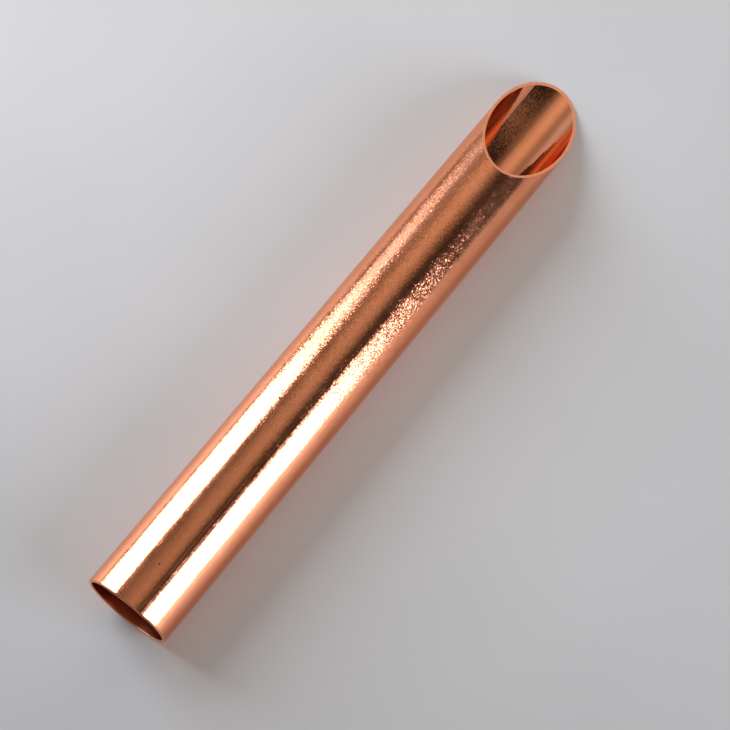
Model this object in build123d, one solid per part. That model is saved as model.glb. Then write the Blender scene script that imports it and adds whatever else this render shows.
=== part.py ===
from build123d import *
import os
from math import cos, radians, sin, tan

# A straight offcut of drawn copper refrigeration tube, in millimetres.
# It lies along X, with the origin on its axis in the plane of the square-cut end, and +Z up.
# The other end is mitred. The cut faces up and away, and leans towards -Y, because the tube lies rolled a little.

# Driving dimensions
outside_diameter = 25.4
wall = 1.0
overall_length = 204.5  # from the square end to the mitre's tip
mitre_angle = 29.0  # between the cut and the tube's axis
roll = 15.0  # how far the tube lies rolled towards -Y from where its cut would face straight up

# How the ends were dressed after cutting
turned_in_edge = 0.35  # at the square end, where the cutter's wheel turned the outside edge in
reamed_edge = 0.25  # the reamer's bevel on the inside edge of the square end
filed_edge_radius = 0.12  # both edges of the mitre, rubbed over with a file

outside_radius = outside_diameter / 2
bore_radius = outside_radius - wall
mitre_rise = tan(radians(mitre_angle))
axis_length = overall_length - outside_radius / mitre_rise  # to where the mitre crosses the axis


def wall_section():
    """The wall's section above the axis: the square end is dressed, and the far end is left long for the mitre."""
    far_end = overall_length + wall
    with BuildSketch(Plane.XZ) as section:
        with BuildLine():
            Polyline(
                (0, bore_radius + reamed_edge),
                (0, outside_radius - turned_in_edge),
                (turned_in_edge, outside_radius),
                (far_end, outside_radius),
                (far_end, bore_radius),
                (reamed_edge, bore_radius),
                close=True,
            )
        make_face()
    return section.sketch


def drawn_tube():
    """The tube as it comes off the cutter: its section turned once round the axis."""
    return revolve(wall_section(), Axis.X, 360)


def mitre_plane():
    """The plane of the slanting cut. Its normal points out of the tube's mouth."""
    facing_up = Vector(sin(radians(mitre_angle)), 0, cos(radians(mitre_angle)))
    return Plane(origin=(axis_length, 0, 0), z_dir=facing_up.rotate(Axis.X, roll))


def mitred(tube):
    """The tube with everything past the slanting cut taken off, and both edges of the cut filed."""
    cut = mitre_plane()
    kept = split(tube, bisect_by=cut, keep=Keep.BOTTOM)
    mouth = kept.faces().filter_by(cut)[0]
    return fillet(mouth.edges(), filed_edge_radius)


tube = mitred(drawn_tube())

os.makedirs("parts", exist_ok=True)
export_step(tube, "parts/tube.step")

print("volume", tube.volume, "valid", tube.is_valid, "box", tube.bounding_box())
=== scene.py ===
import bpy
import numpy as np
from mathutils import Matrix, Vector


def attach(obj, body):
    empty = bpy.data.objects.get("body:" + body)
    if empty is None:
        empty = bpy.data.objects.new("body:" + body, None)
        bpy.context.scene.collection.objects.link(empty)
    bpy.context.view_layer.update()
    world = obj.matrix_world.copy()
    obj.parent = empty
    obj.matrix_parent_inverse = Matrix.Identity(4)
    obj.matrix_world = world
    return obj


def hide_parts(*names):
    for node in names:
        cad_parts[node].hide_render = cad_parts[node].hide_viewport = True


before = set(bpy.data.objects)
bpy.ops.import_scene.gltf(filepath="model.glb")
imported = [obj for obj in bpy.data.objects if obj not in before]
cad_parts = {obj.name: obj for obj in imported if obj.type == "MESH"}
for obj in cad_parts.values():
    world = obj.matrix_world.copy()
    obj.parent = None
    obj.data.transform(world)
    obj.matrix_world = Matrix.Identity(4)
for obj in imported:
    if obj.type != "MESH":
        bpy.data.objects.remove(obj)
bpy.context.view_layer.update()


# The tube
# A straight offcut of thin-walled copper tube, drawn through a die and left bright. One end is cut square
# with a wheel cutter, whose wheel turns the outside edge in. The other is sawn at a slant and filed over.

# Lengths in this section are in millimetres. Angles go round the tube from the high side of the slanting cut.
outside_radius = 12.7
bore_radius = 11.7
mitre_angle = np.radians(29.0)  # between the slanting cut and the axis
cut_run = 1 / np.tan(mitre_angle)  # how far the cut runs along the axis for each millimetre across it
axis_length = 204.5 - outside_radius / np.tan(mitre_angle)  # to where the cut crosses the axis
roll = np.radians(15.0)  # the cut's high side leans this far towards -Y

# The square end: the wheel's cut doesn't meet its own start, so one side of it stands a step further in.
turned_in, reamed = 0.38, 0.25  # the radius of its rounded outside edge, and of its inside edge
end_back, end_waves = 0.05, 0.04  # how far in from the true end it stands, and how far it waves
wheel_step, wheel_start = 0.16, np.radians(-25.6)  # the step, and where it is
wheel_side, wheel_sharp = np.radians(-70), 60  # the middle of the side that stands in, and the step's steepness

# The slanting cut
cut_margin = 0.06  # keeps the uneven cut inside the true one
saw_wander, saw_tears = 0.030, 0.018  # its long waves and its short ones
filed_edge, filed_more = 0.16, 0.04  # the radius of its filed outer edge, and how much that varies round it
filed_inside = 0.10  # how much larger the radius of its inner edge is

# The drawn wall
thinner_outside, thinner_at_ends = 0.008, 0.01  # how far it stays under its true outside, for good measure
unevenness, bore_unevenness, bore_waves = 0.004, 0.012, 0.02
flat_depth, flat_at, flat_width = 0.16, np.radians(70), 0.7  # a slight flattening beside the mouth
flat_start, flat_fade = 172, 7  # where it starts along the tube, and how gently
full_score = 0.012  # the depth at which a drawn line is at its darkest

# The lines that the die drew: angle in degrees, width, depth, first and last length
draw_lines = [
    (-6.4, 0.36, 0.006, -20, 112),
    (-8.8, 0.34, 0.027, -20, 104),
    (-11.6, 0.34, 0.016, -20, 100),
    (21.5, 0.34, 0.008, -20, 96),
    (18.8, 0.34, 0.017, -20, 90),
    (16.2, 0.34, 0.011, 8, 70),
    (-48.0, 0.60, 0.003, -20, 260),
    (63.0, 0.60, 0.003, -20, 260),
    (110.0, 0.60, 0.005, -20, 260),
    (-122.0, 0.60, 0.005, -20, 260),
    (171.0, 0.60, 0.006, -20, 260),
]
# Three dents near the mouth and a pit near the square end: length, angle in degrees, width, depth
dings = [
    (152.5, -43.0, 1.4, 0.020),
    (156.5, -46.5, 1.1, 0.016),
    (160.0, -52.0, 1.6, 0.014),
    (12.98, 6.2, 0.5, 0.050),
]

columns, outer_rows, bore_rows = 320, 168, 60  # round the tube, and along its outside and its bore
chance = np.random.default_rng(29)


def ripple(x, angle, waves, length, count):
    """Slow unevenness of the drawn wall, about 1 high.

    The sum of a few cosines that go round the tube a whole number of times and run slowly along it.
    """
    total = np.zeros(np.broadcast(x, angle).shape)
    for _ in range(count):
        around = chance.integers(1, waves)
        along, phase = chance.uniform(-1, 1) / length, chance.uniform(0, 2 * np.pi)
        total += np.cos(around * angle + 2 * np.pi * along * x + phase)
    return total / np.sqrt(count)


def wrapped(angle):
    """The same direction as an angle of at most half a turn either way."""
    return np.mod(angle + np.pi, 2 * np.pi) - np.pi


def groove(x, angle, at, width, depth, start, stop):
    """A shallow line that the die drew along the wall.

    Its depth falls off as a bell curve across its width. Along it, it sways to the sides and its depth wavers,
    both as slow sines, and it fades at both ends.
    """
    sway = np.radians(0.5) * np.sin(x / 17.0 + at)
    across = wrapped(angle - at - sway) * outside_radius
    fade_in, fade_out = 4, 6
    faded = 1 / (1 + np.exp(-(x - start) / fade_in)) / (1 + np.exp((x - stop) / fade_out))
    waver = 0.65 + 0.35 * np.sin(x * 0.9 + 3 * at) * np.sin(x * 0.23 + at)
    return depth * faded * waver * np.exp(-((across / (0.5 * width)) ** 2))


def dent(x, angle, at_x, at_angle, width, depth):
    """A round dent: a bell curve of the distance from its middle over the wall."""
    across = wrapped(angle - at_angle) * outside_radius
    return depth * np.exp(-((x - at_x) ** 2 + across**2) / (0.5 * width) ** 2)


def scoring(x, angle):
    """The depth of all the drawn lines together."""
    return sum(groove(x, angle, np.radians(at), *line) for at, *line in draw_lines)


def outer_wall(x, angle):
    """The outside radius at a length x and an angle, never over its nominal size.

    It is the nominal radius less the drawn wall's unevenness, its lines and its dents, and less a flattening
    that is a bell curve round the tube and comes in smoothly along it.
    """
    radius = outside_radius - thinner_outside - unevenness * ripple(x, angle, 9, 150, 10)
    radius = radius - scoring(x, angle)
    for at_x, at, width, depth in dings:
        radius -= dent(x, angle, at_x, np.radians(at), width, depth)
    flattened = np.exp(-(((angle - flat_at) / flat_width) ** 2))
    flattened = flattened / (1 + np.exp(-(x - flat_start) / flat_fade))
    return np.minimum(radius - flat_depth * flattened, outside_radius)


def rounded(start, corner, end, steps):
    """A filed or turned-in corner: the arc of a circle that touches the outline at start and at end.

    It is the weighted curve of start, corner and end, with the sine of half the corner's angle as its weight.
    """
    towards_start, towards_end = (
        (point - corner) / np.linalg.norm(point - corner, axis=-1, keepdims=True) for point in (start, end)
    )
    weight = np.sqrt((1 - (towards_start * towards_end).sum(-1, keepdims=True)) / 2)
    t = np.linspace(0, 1, steps).reshape(-1, 1, 1)
    shares = (1 - t) ** 2, 2 * t * (1 - t) * weight, t**2
    return (shares[0] * start + shares[1] * corner + shares[2] * end) / sum(shares)


def straight(start, end, steps, held):
    """Points evenly from start to end, without either of them.

    The held distances add points close to both ends, so that the shading stays flat up to an edge.
    """
    run = np.linalg.norm(end - start, axis=-1, keepdims=True)
    held = np.asarray(held, float).reshape(-1, 1, 1) * np.ones_like(run)
    inset = held[-1:]
    t = np.linspace(0, 1, steps + 2)[1:-1].reshape(-1, 1, 1)
    distance = np.concatenate([held, inset + t * (run - 2 * inset), run - held[::-1]])
    return start + distance / run * (end - start)


def half_plane(x, radius):
    """A point of the wall's section for every column.

    It pairs the length along the tube with the distance from the axis, in the last axis of one array.
    """
    return np.stack(np.broadcast_arrays(np.asarray(x, float), np.asarray(radius, float)), -1)


def wall_section(angle):
    """The wall's closed outline at each angle, as eight runs of rows.

    They go out along the outside, over the slanting cut, back along the bore and over the square end. A point
    of the cut has the length on the axis, less the radius times the angle's cosine times the cut's run.
    """
    saw = saw_wander * ripple(0.0, angle, 30, 1, 14) + saw_tears * ripple(0.0, angle, 70, 1, 10)

    def on_cut(radius):
        reach = axis_length - radius * np.cos(angle) * cut_run - cut_margin - np.abs(saw)
        return half_plane(reach, radius)

    missed = wheel_step / (1 + np.exp((wrapped(angle) - wheel_start) * wheel_sharp))
    missed = missed * (np.cos(angle - wheel_side) > -0.2)  # a little over half the way round
    square_end = np.abs(end_back + end_waves * ripple(0.0, angle, 7, 1, 6)) + missed
    bore = bore_radius + bore_waves * ripple(0.0, angle, 5, 1, 5)
    outside = outside_radius - thinner_at_ends

    # A filed edge's circle touches both sides of its corner, at its radius over the tangent of half the
    # corner's angle. The inner corner has what the outer one lacks of half a turn, so there the tangent
    # multiplies.
    filed = (filed_edge + filed_more * np.cos(angle))[..., None]
    eased = filed + filed_inside
    outer_corner, inner_corner = on_cut(outside), on_cut(bore)
    along_cut = inner_corner - outer_corner
    along_cut = along_cut / np.linalg.norm(along_cut, axis=-1, keepdims=True)
    half_corner = np.tan(np.arccos(-along_cut[..., :1]) / 2)
    along_wall = half_plane(1.0, 0.0)
    filed_out = outer_corner - filed / half_corner * along_wall
    filed_in = inner_corner - eased * half_corner * along_wall
    cut_out = outer_corner + filed / half_corner * along_cut
    cut_in = inner_corner - eased * half_corner * along_cut

    start_out, corner_out = half_plane(square_end + turned_in, outside), half_plane(square_end, outside)
    start_in, corner_in = half_plane(square_end + reamed, bore), half_plane(square_end, bore)
    face_out, face_in = half_plane(square_end, outside - turned_in), half_plane(square_end, bore + reamed)
    return [
        straight(start_out, filed_out, outer_rows, held=(0.03, 0.08, 0.2, 0.5, 1.1)),
        rounded(filed_out, outer_corner, cut_out, 7),
        straight(cut_out, cut_in, 2, held=(0.03, 0.1)),
        rounded(cut_in, inner_corner, filed_in, 7),
        straight(filed_in, start_in, bore_rows, held=(0.03, 0.08, 0.2, 0.5, 1.2)),
        rounded(start_in, corner_in, face_in, 5),
        straight(face_in, face_out, 1, held=(0.03,)),
        rounded(face_out, corner_out, start_out, 6),
    ]


filed_runs = (1, 2, 3)  # the runs of rows that the file has been over

# The columns stand closer together where the two groups of drawn lines run, up to this much closer.
crowding = 1.6
fine_angle = np.radians(np.arange(-180, 180, 0.25))
line_groups, group_width = np.radians((-9.5, 19)), 0.1
closeness = 1 + crowding * sum(np.exp(-(((fine_angle - at) / group_width) ** 2)) for at in line_groups)
column_count = np.concatenate([[0], np.cumsum(closeness)]) / closeness.sum()
angle = np.interp(np.arange(columns) / columns, column_count, np.append(fine_angle, np.pi))
runs = wall_section(angle.reshape(1, -1))
run_of_row = np.concatenate([np.full(len(run), k) for k, run in enumerate(runs)])
section = np.concatenate(runs)
length, radius = section[..., 0], section[..., 1]
spread = np.broadcast_to(angle, length.shape)

# The outside's unevenness fades through the wall into the bore's own.
wall_depth = np.clip((outside_radius - radius) / (outside_radius - bore_radius), 0, 1)
radius = radius + (1 - wall_depth) * (outer_wall(length, spread) - outside_radius)
radius += wall_depth * bore_unevenness * ripple(length, spread, 8, 120, 8)
turn = spread - roll
points = np.stack([length, radius * np.sin(turn), radius * np.cos(turn)], -1) / 1000  # metres

rows = len(section)
here = np.arange(rows * columns).reshape(rows, columns)
right, below = np.roll(here, -1, 1), np.roll(here, -1, 0)
faces = np.stack([here, below, np.roll(right, -1, 0), right], -1).reshape(-1, 4)
on_rim = np.repeat(np.isin(run_of_row, filed_runs), columns)

mesh = bpy.data.meshes.new("drawn_tube")
mesh.from_pydata(points.reshape(-1, 3), [], faces.tolist())
mesh.polygons.foreach_set("use_smooth", np.ones(len(mesh.polygons), bool))
mesh.polygons.foreach_set("material_index", on_rim.astype(np.int32))
scored = np.clip(scoring(length, spread) / full_score, 0, 1) * (wall_depth < 0.5)
for name, value in (("scored", scored), ("inside", wall_depth)):
    mesh.attributes.new(name, "FLOAT", "POINT").data.foreach_set("value", value.ravel())
mesh.update()
tube = bpy.data.objects.new("drawn_tube", mesh)
bpy.context.scene.collection.objects.link(tube)


def linear(hex_colour):
    """An sRGB hex colour as the linear colour, with full opacity, that a shader takes."""
    value = np.array([int(hex_colour[k:k + 2], 16) for k in (0, 2, 4)]) / 255
    value = np.where(value <= 0.04045, value / 12.92, ((value + 0.055) / 1.055) ** 2.4)
    return (*value.tolist(), 1.0)


def add(tree, kind, inputs=None, stops=(), **settings):
    """Adds a node with its settings.

    Each input is a plain value or another node's output, by name or number. A colour ramp's stops are
    positions and hex colours.
    """
    node = tree.nodes.new("ShaderNode" + kind)
    for name, value in settings.items():
        setattr(node, name, value)
    for k, (position, hex_colour) in enumerate(stops):
        stop = node.color_ramp.elements[k]
        stop.position, stop.color = position, linear(hex_colour)
    for name, value in (inputs or {}).items():
        if isinstance(value, bpy.types.NodeSocket):
            tree.links.new(value, node.inputs[name])
        else:
            node.inputs[name].default_value = value
    return node


def new_material(name):
    """An empty material, its tree, its shader and its Object coordinates, which are in metres."""
    material = bpy.data.materials.new(name)
    material.use_nodes = True
    tree = material.node_tree
    place = add(tree, "TexCoord").outputs["Object"]
    return material, tree, tree.nodes["Principled BSDF"], place


# Drawn copper: bright metal from the die, salmon pink in neutral light, whose reflections keep that tint edge
# on. The crystals of the soft-annealed wall stand at slightly different tilts, so the edge of a reflected
# lamp breaks up into sparkle, and fine lines from the die run along the tube.
copper, tree, shader, place = new_material("drawn_copper")
shader.inputs["Metallic"].default_value = 1.0
shader.inputs["Specular Tint"].default_value = (1.0, 0.86, 0.76, 1.0)
along = add(tree, "SeparateXYZ", {0: place}).outputs["X"]
inside = add(tree, "Attribute", attribute_name="inside").outputs["Fac"]

# Its colour varies in blotches of about 9 mm. The drawn lines are a little darker, and the pit is brown.
pit_at = (0.01298, -0.00194, 0.01255)
blotch = add(tree, "TexNoise", {"Vector": place, "Scale": 110.0, "Detail": 3.0, "Roughness": 0.55})
blotch = blotch.outputs["Fac"]
tone = add(tree, "ValToRGB", {"Fac": blotch}, stops=((0.3, "F59B6E"), (0.7, "FBA277"))).outputs["Color"]
scored = add(tree, "Attribute", attribute_name="scored").outputs["Fac"]
scored = add(tree, "Math", {0: scored, 1: 0.4}, operation="MULTIPLY").outputs["Value"]
tone = add(tree, "MixRGB", {"Fac": scored, "Color1": tone, "Color2": linear("8A5238")}).outputs["Color"]
pit = add(tree, "VectorMath", {0: place, 1: pit_at}, operation="DISTANCE").outputs["Value"]
pit = add(tree, "MapRange", {"Value": pit, "From Min": 0.00016, "From Max": 0.00030,
                             "To Min": 1.0, "To Max": 0.0}).outputs["Result"]
tone = add(tree, "MixRGB", {"Fac": pit, "Color1": tone, "Color2": linear("40241A")}).outputs["Color"]
tree.links.new(tone, shader.inputs["Base Color"])

# The bore is rougher for a centimetre at the square end, where the reamer scraped it, and smoother beyond.
rough = add(tree, "MapRange", {"Value": blotch, "From Min": 0.3, "From Max": 0.7,
                               "To Min": 0.12, "To Max": 0.18}).outputs["Result"]
scraped = add(tree, "MapRange", {"Value": along, "From Min": 0.002, "From Max": 0.012,
                                 "To Min": 0.07, "To Max": -0.07}).outputs["Result"]
rough = add(tree, "Math", {0: inside, 1: scraped, 2: rough}, operation="MULTIPLY_ADD").outputs["Value"]
tree.links.new(rough, shader.inputs["Roughness"])

# Each crystal tips its bit of the wall, on each axis, by u times the root of u, where u is random from -1 to
# 1. A share of the 32nd power of u lets a few tip further. The tips grow towards the slanting cut and are
# small on the bore. Real crystals are finer, and are drawn this coarse so that they show.
crystal_size = 0.28  # millimetres
usual_power, rare_power, rare_share = 0.5, 32, 0.65
crystals = add(tree, "TexVoronoi", {"Vector": place, "Scale": 1000 / crystal_size, "Randomness": 1.0})
tip = add(tree, "VectorMath", {0: crystals.outputs["Color"], 1: (2, 2, 2), 2: (-1, -1, -1)},
          operation="MULTIPLY_ADD").outputs["Vector"]
tip_size = add(tree, "VectorMath", {0: tip}, operation="ABSOLUTE").outputs["Vector"]
usual = add(tree, "VectorMath", {0: tip_size, 1: (usual_power,) * 3}, operation="POWER").outputs["Vector"]
rare = add(tree, "VectorMath", {0: tip_size, 1: (rare_power,) * 3}, operation="POWER").outputs["Vector"]
tip_size = add(tree, "VectorMath", {0: rare, 1: (rare_share,) * 3, 2: usual},
               operation="MULTIPLY_ADD").outputs["Vector"]
tip = add(tree, "VectorMath", {0: tip, 1: tip_size}, operation="MULTIPLY").outputs["Vector"]
grown = add(tree, "MapRange", {"Value": along, "From Min": 0.02, "From Max": 0.09,
                               "To Min": 0.030, "To Max": 0.052}).outputs["Result"]
finer = add(tree, "MapRange", {"Value": inside, "To Min": 1.0, "To Max": 0.2}).outputs["Result"]
grain = add(tree, "Math", {0: grown, 1: finer}, operation="MULTIPLY").outputs["Value"]
tip = add(tree, "VectorMath", {0: tip, "Scale": grain}, operation="SCALE").outputs["Vector"]

# The die's fine lines lean the wall to one side or the other. Each runs for some 80 mm and is a third of a
# millimetre wide, which is as fine as shows.
lines = add(tree, "Mapping", {"Vector": place, "Scale": (13, 3000, 3000)}).outputs["Vector"]
lines = add(tree, "TexNoise", {"Vector": lines, "Scale": 1.0, "Detail": 2.0, "Roughness": 0.6}).outputs["Fac"]
straight_out = add(tree, "NewGeometry").outputs["Normal"]
sideways = add(tree, "VectorMath", {0: (1, 0, 0), 1: straight_out}, operation="CROSS_PRODUCT")
lean = add(tree, "MapRange", {"Value": lines, "From Min": 0.2, "From Max": 0.8,
                              "To Min": -0.032, "To Max": 0.032}).outputs["Result"]
lean = add(tree, "VectorMath", {0: sideways.outputs["Vector"], "Scale": lean}, operation="SCALE")
facing = add(tree, "VectorMath", {0: straight_out, 1: lean.outputs["Vector"]}, operation="ADD")
facing = add(tree, "VectorMath", {0: facing.outputs["Vector"], 1: tip}, operation="ADD")
facing = add(tree, "VectorMath", {0: facing.outputs["Vector"]}, operation="NORMALIZE")
tree.links.new(facing.outputs["Vector"], shader.inputs["Normal"])

# Sawn copper: the slanting cut, filed over. File marks of about 0.4 mm, drawn coarser than real ones so that
# they show, make it satin and a lighter orange than the wall.
sawn, tree, shader, place = new_material("sawn_copper")
shader.inputs["Metallic"].default_value = 1.0
marks = add(tree, "TexNoise", {"Vector": place, "Scale": 2500.0, "Detail": 3.0}).outputs["Fac"]
tone = add(tree, "ValToRGB", {"Fac": marks}, stops=((0.35, "DD8763"), (0.65, "F3AB86"))).outputs["Color"]
tree.links.new(tone, shader.inputs["Base Color"])
rough = add(tree, "MapRange", {"Value": marks, "To Min": 0.34, "To Max": 0.52}).outputs["Result"]
tree.links.new(rough, shader.inputs["Roughness"])
filed_over = add(tree, "Bump", {"Height": marks, "Distance": 0.00003, "Strength": 1.0}).outputs["Normal"]
tree.links.new(filed_over, shader.inputs["Normal"])

mesh.materials.append(copper)
mesh.materials.append(sawn)
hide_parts("tube")
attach(tube, "root")


# The table
# A pale, slightly glossy laminate top, level with the tube's underside. It is wide enough to fill every view.
table_level = -outside_radius / 1000
reach = 4.0  # metres each way
corners = [(reach * x, reach * y, table_level) for x, y in ((-1, -1), (1, -1), (1, 1), (-1, 1))]
table_mesh = bpy.data.meshes.new("table_top")
table_mesh.from_pydata(corners, [], [(0, 1, 2, 3)])
table = bpy.data.objects.new("table_top", table_mesh)
bpy.context.scene.collection.objects.link(table)

# Pale laminate: pressed from printed paper under clear resin, so it has a soft gloss and a faint mottle of
# about 70 mm. Its colour is painted darker towards -X and -Y, as painted shade where the light falls off.
laminate, tree, shader, place = new_material("pale_laminate")
mottle = add(tree, "TexNoise", {"Vector": place, "Scale": 14.0, "Detail": 2.0}).outputs["Fac"]
tone = add(tree, "ValToRGB", {"Fac": mottle}, stops=((0.3, "C7C5BC"), (0.7, "CCC9C0"))).outputs["Color"]
across = add(tree, "SeparateXYZ", {0: place})
# Painted shade: the colour darkens smoothly towards -X and -Y, where less light reaches the table.
painted_shade_x = add(tree, "MapRange", {"Value": across.outputs["X"], "From Min": -0.16, "From Max": 0.12,
                                 "To Min": 0.60, "To Max": 1.0}, interpolation_type="SMOOTHSTEP")
painted_shade_y = add(tree, "MapRange", {"Value": across.outputs["Y"], "From Min": -0.24, "From Max": 0.04,
                                 "To Min": 0.80, "To Max": 1.0}, interpolation_type="SMOOTHSTEP")
painted_shade = add(tree, "Math", {0: painted_shade_x.outputs["Result"], 1: painted_shade_y.outputs["Result"]}, operation="MULTIPLY")
tone = add(tree, "VectorMath", {0: tone, "Scale": painted_shade.outputs["Value"]}, operation="SCALE")
tree.links.new(tone.outputs["Vector"], shader.inputs["Base Color"])
rough = add(tree, "MapRange", {"Value": mottle, "To Min": 0.38, "To Max": 0.46}).outputs["Result"]
tree.links.new(rough, shader.inputs["Roughness"])
shader.inputs["Specular IOR Level"].default_value = 0.28
table_mesh.materials.append(laminate)


# The lamps
# Two softboxes stand one each side of the tube. Both end a little beyond its far end, so only its near half
# mirrors them to the camera. A dim strip beyond the left one stands for the light that spills past its edge.
lamp_distance = 0.85  # metres from the tube's axis
lamp_colour = (0.94, 1.0, 1.24)  # a cool white
power_for_radiance = 4.0  # the renderer divides a lamp's power by its area and by this


def softbox(name, low, high, first, last, radiance):
    """A rectangular lamp that faces the tube's axis.

    It spans the angles low to high from the vertical, in degrees towards +Y, and the lengths first to last
    along the tube, in metres. Its power is its radiance times its area times the renderer's factor.
    """
    middle, half = np.radians((low + high) / 2), np.radians(high - low) / 2
    lamp = bpy.data.lights.new(name, "AREA")
    lamp.shape = "RECTANGLE"
    lamp.size, lamp.size_y = last - first, 2 * lamp_distance * np.tan(half)
    lamp.energy = radiance * lamp.size * lamp.size_y * power_for_radiance
    lamp.color = lamp_colour
    lamp_object = bpy.data.objects.new(name, lamp)
    bpy.context.scene.collection.objects.link(lamp_object)
    out = Vector((0, np.sin(middle), np.cos(middle)))
    across = Vector((1, 0, 0))
    centre = Vector(((first + last) / 2, 0, 0)) + lamp_distance * out
    turned = Matrix((across, out.cross(across), out)).transposed().to_4x4()
    lamp_object.matrix_world = Matrix.Translation(centre) @ turned
    lamp_object.visible_camera = False


softbox("left_softbox", low=33.5, high=83, first=-0.15, last=0.360, radiance=4.8)
softbox("left_spill", low=47, high=76, first=0.36, last=0.50, radiance=0.95)
softbox("right_softbox", low=-90, high=-49, first=-0.03, last=0.372, radiance=5.4)


# The studio's room
# Its ceiling and walls are dim and a little warm. A paler patch of ceiling runs along over the tube, the wall
# beyond the left softbox catches some of its light, and the room is paler far beyond the tube and just behind
# the camera, and dark at its back.
patch_start, patch_slope, patch_width = 0.397, -1.09, 0.35  # the patch drifts towards +Y as it runs away
wall_at, wall_width = np.radians(61), np.radians(15)  # from the vertical, towards +Y
one_over_e = np.e ** -1  # this to the power of a squared distance is a bell curve
least_side, least_height = 0.02, 0.05  # keep the divisions finite
world = bpy.data.worlds.new("studio")
bpy.context.scene.world = world
world.use_nodes = True
tree = world.node_tree

# A direction's ahead is how far it leads along the tube for each unit away from the tube's axis, and its
# aside is how far it leads towards +Y for each unit up.
heading = add(tree, "SeparateXYZ", {0: add(tree, "TexCoord").outputs["Generated"]})
side = add(tree, "CombineXYZ", {"X": 0.0, "Y": heading.outputs["Y"], "Z": heading.outputs["Z"]})
side = add(tree, "VectorMath", {0: side.outputs["Vector"]}, operation="LENGTH").outputs["Value"]
side = add(tree, "Math", {0: side, 1: least_side}, operation="MAXIMUM").outputs["Value"]
ahead = add(tree, "Math", {0: heading.outputs["X"], 1: side}, operation="DIVIDE").outputs["Value"]
height = add(tree, "Math", {0: heading.outputs["Z"], 1: least_height}, operation="MAXIMUM").outputs["Value"]
aside = add(tree, "Math", {0: heading.outputs["Y"], 1: height}, operation="DIVIDE").outputs["Value"]

# The paler patch of ceiling: a bell curve across its slanting line, which grows brighter along it.
off_patch = add(tree, "Math", {0: ahead, 1: patch_slope, 2: patch_start}, operation="MULTIPLY_ADD")
off_patch = add(tree, "Math", {0: off_patch.outputs["Value"], 1: aside}, operation="ADD")
off_patch = add(tree, "Math", {0: off_patch.outputs["Value"], 1: patch_width}, operation="DIVIDE")
off_patch = off_patch.outputs["Value"]
off_patch = add(tree, "Math", {0: off_patch, 1: off_patch}, operation="MULTIPLY").outputs["Value"]
patch = add(tree, "Math", {0: one_over_e, 1: off_patch}, operation="POWER").outputs["Value"]
patch_level = add(tree, "MapRange", {"Value": ahead, "From Min": 0.19, "From Max": 0.447,
                                     "To Min": 0.22, "To Max": 0.40}).outputs["Result"]
patch = add(tree, "Math", {0: patch, 1: patch_level}, operation="MULTIPLY").outputs["Value"]

# The lit wall: a bell curve of the angle from the vertical, which starts where the left softbox ends.
off_wall = add(tree, "Math", {0: heading.outputs["Y"], 1: heading.outputs["Z"]}, operation="ARCTAN2")
off_wall = add(tree, "Math", {0: off_wall.outputs["Value"], 1: wall_at}, operation="SUBTRACT")
off_wall = add(tree, "Math", {0: off_wall.outputs["Value"], 1: wall_width}, operation="DIVIDE")
off_wall = off_wall.outputs["Value"]
off_wall = add(tree, "Math", {0: off_wall, 1: off_wall}, operation="MULTIPLY").outputs["Value"]
wall = add(tree, "Math", {0: one_over_e, 1: off_wall}, operation="POWER").outputs["Value"]
wall_near = add(tree, "MapRange", {"Value": ahead, "From Min": 0.25, "From Max": 0.34,
                                   "To Min": 0.0, "To Max": 1.0}).outputs["Result"]
wall_far = add(tree, "MapRange", {"Value": ahead, "From Min": 0.36, "From Max": 0.50,
                                  "To Min": 0.45, "To Max": 0.35}).outputs["Result"]
wall = add(tree, "Math", {0: wall, 1: wall_near}, operation="MULTIPLY").outputs["Value"]
wall = add(tree, "Math", {0: wall, 1: wall_far}, operation="MULTIPLY").outputs["Value"]

# The rest of the room
beyond = add(tree, "MapRange", {"Value": ahead, "From Min": 0.34, "From Max": 1.5,
                                "To Min": 0.19, "To Max": 0.95}).outputs["Result"]
behind = add(tree, "MapRange", {"Value": ahead, "From Min": -0.10, "From Max": 0.12,
                                "To Min": 0.32, "To Max": 0.0}).outputs["Result"]
dimmed = add(tree, "MapRange", {"Value": ahead, "From Min": -0.5, "From Max": -0.15,
                                "To Min": 0.3, "To Max": 1.0}).outputs["Result"]
level = add(tree, "Math", {0: beyond, 1: behind}, operation="ADD").outputs["Value"]
level = add(tree, "Math", {0: level, 1: patch}, operation="ADD").outputs["Value"]
level = add(tree, "Math", {0: level, 1: dimmed}, operation="MULTIPLY").outputs["Value"]
warm = add(tree, "VectorMath", {0: linear("FFF6E8")[:3], "Scale": level}, operation="SCALE")
cool = add(tree, "VectorMath", {0: (0.80, 1.10, 1.60), "Scale": wall}, operation="SCALE")
light = add(tree, "VectorMath", {0: warm.outputs["Vector"], 1: cool.outputs["Vector"]}, operation="ADD")
tree.links.new(light.outputs["Vector"], tree.nodes["Background"].inputs["Color"])


# The black drape
# A sheet of black felt hangs in an arc behind the lamp on the -Y side. Its top edge is gauze, which thins out
# towards the ceiling, so the tube mirrors a soft change from brown to black. It has a narrow gap far along.
drape_radius = 1.3  # metres from the tube's axis


def drape(along, turned):
    """A sheet bent round the tube's axis: a circle's arc of the drape's radius, carried straight along X."""
    return np.stack([along, -drape_radius * np.sin(turned), drape_radius * np.cos(turned)], -1)


grid_x, grid_turn = np.meshgrid(np.linspace(-0.6, 1.8, 21), np.radians(np.linspace(2, 90.5, 46)))
here = np.arange(grid_x.size).reshape(grid_x.shape)
quads = np.stack([here[:-1, :-1], here[1:, :-1], here[1:, 1:], here[:-1, 1:]], -1).reshape(-1, 4)
drape_mesh = bpy.data.meshes.new("black_drape")
drape_mesh.from_pydata(drape(grid_x, grid_turn).reshape(-1, 3), [], quads.tolist())
drape_object = bpy.data.objects.new("black_drape", drape_mesh)
bpy.context.scene.collection.objects.link(drape_object)

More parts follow.
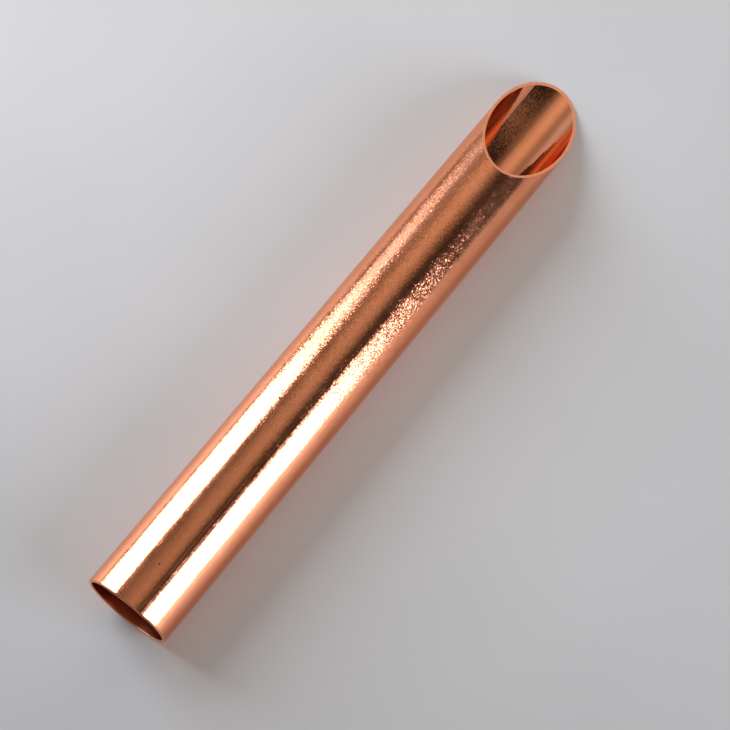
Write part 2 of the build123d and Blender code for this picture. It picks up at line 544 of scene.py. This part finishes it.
# Black felt: matted wool with no gloss, so it mirrors as an even, near-black grey. The gauze and the gap are
# where it lets the room through.
gauze_top, gauze_foot = np.radians(16), np.radians(51)  # from the vertical, level with the tube's square end
gauze_drift = np.radians(15)  # how much higher both are for each metre along the tube
gap_at, gap_clear, gap_soft = 0.853, 0.008, 0.025  # metres: its middle, and half its width clear and with edges
felt, tree, shader, place = new_material("black_felt")
nap = add(tree, "TexNoise", {"Vector": place, "Scale": 60.0}).outputs["Fac"]
tone = add(tree, "ValToRGB", {"Fac": nap}, stops=((0.0, "2A2A2A"), (1.0, "343434"))).outputs["Color"]
tree.links.new(tone, shader.inputs["Base Color"])
shader.inputs["Roughness"].default_value = 0.9
across = add(tree, "SeparateXYZ", {0: place})
down = add(tree, "Math", {0: across.outputs["Y"], 1: -1.0}, operation="MULTIPLY").outputs["Value"]
down = add(tree, "Math", {0: down, 1: across.outputs["Z"]}, operation="ARCTAN2").outputs["Value"]
farther = add(tree, "Math", {0: across.outputs["X"], 1: gauze_drift}, operation="MULTIPLY").outputs["Value"]
down = add(tree, "Math", {0: down, 1: farther}, operation="ADD").outputs["Value"]
cover = add(tree, "MapRange", {"Value": down, "From Min": gauze_top, "From Max": gauze_foot,
                               "To Min": 0.0, "To Max": 1.0}, interpolation_type="SMOOTHSTEP")
gap = add(tree, "Math", {0: across.outputs["X"], 1: gap_at}, operation="SUBTRACT").outputs["Value"]
gap = add(tree, "Math", {0: gap}, operation="ABSOLUTE").outputs["Value"]
gap = add(tree, "MapRange", {"Value": gap, "From Min": gap_clear, "From Max": gap_soft,
                             "To Min": 0.0, "To Max": 1.0}, interpolation_type="SMOOTHSTEP")
cover = add(tree, "Math", {0: cover.outputs["Result"], 1: gap.outputs["Result"]}, operation="MULTIPLY")
clear = add(tree, "BsdfTransparent").outputs["BSDF"]
mixed = add(tree, "MixShader", {0: cover.outputs["Value"], 1: clear, 2: shader.outputs["BSDF"]})
tree.links.new(mixed.outputs["Shader"], tree.nodes["Material Output"].inputs["Surface"])
drape_mesh.materials.append(felt)
drape_object.visible_camera = False


# The camera
# It looks down on the tube from its square end, from the height and side that the photograph was taken from.
camera_place = Vector((-0.07253, -0.13050, 0.48079))
camera_right = Vector((0.60525, -0.79603, 0.00395))
camera_up = Vector((0.73044, 0.55734, 0.39477))
camera_back = camera_right.cross(camera_up)
camera_data = bpy.data.cameras.new("camera")
camera_data.sensor_width = 36.0
camera_data.lens = 94.3
camera_data.clip_start, camera_data.clip_end = 0.01, 30
camera = bpy.data.objects.new("camera", camera_data)
bpy.context.scene.collection.objects.link(camera)
camera.matrix_world = (Matrix.Translation(camera_place)
                       @ Matrix((camera_right, camera_up, camera_back)).transposed().to_4x4())
bpy.context.scene.camera = camera
bpy.context.scene.view_settings.view_transform = "Standard"
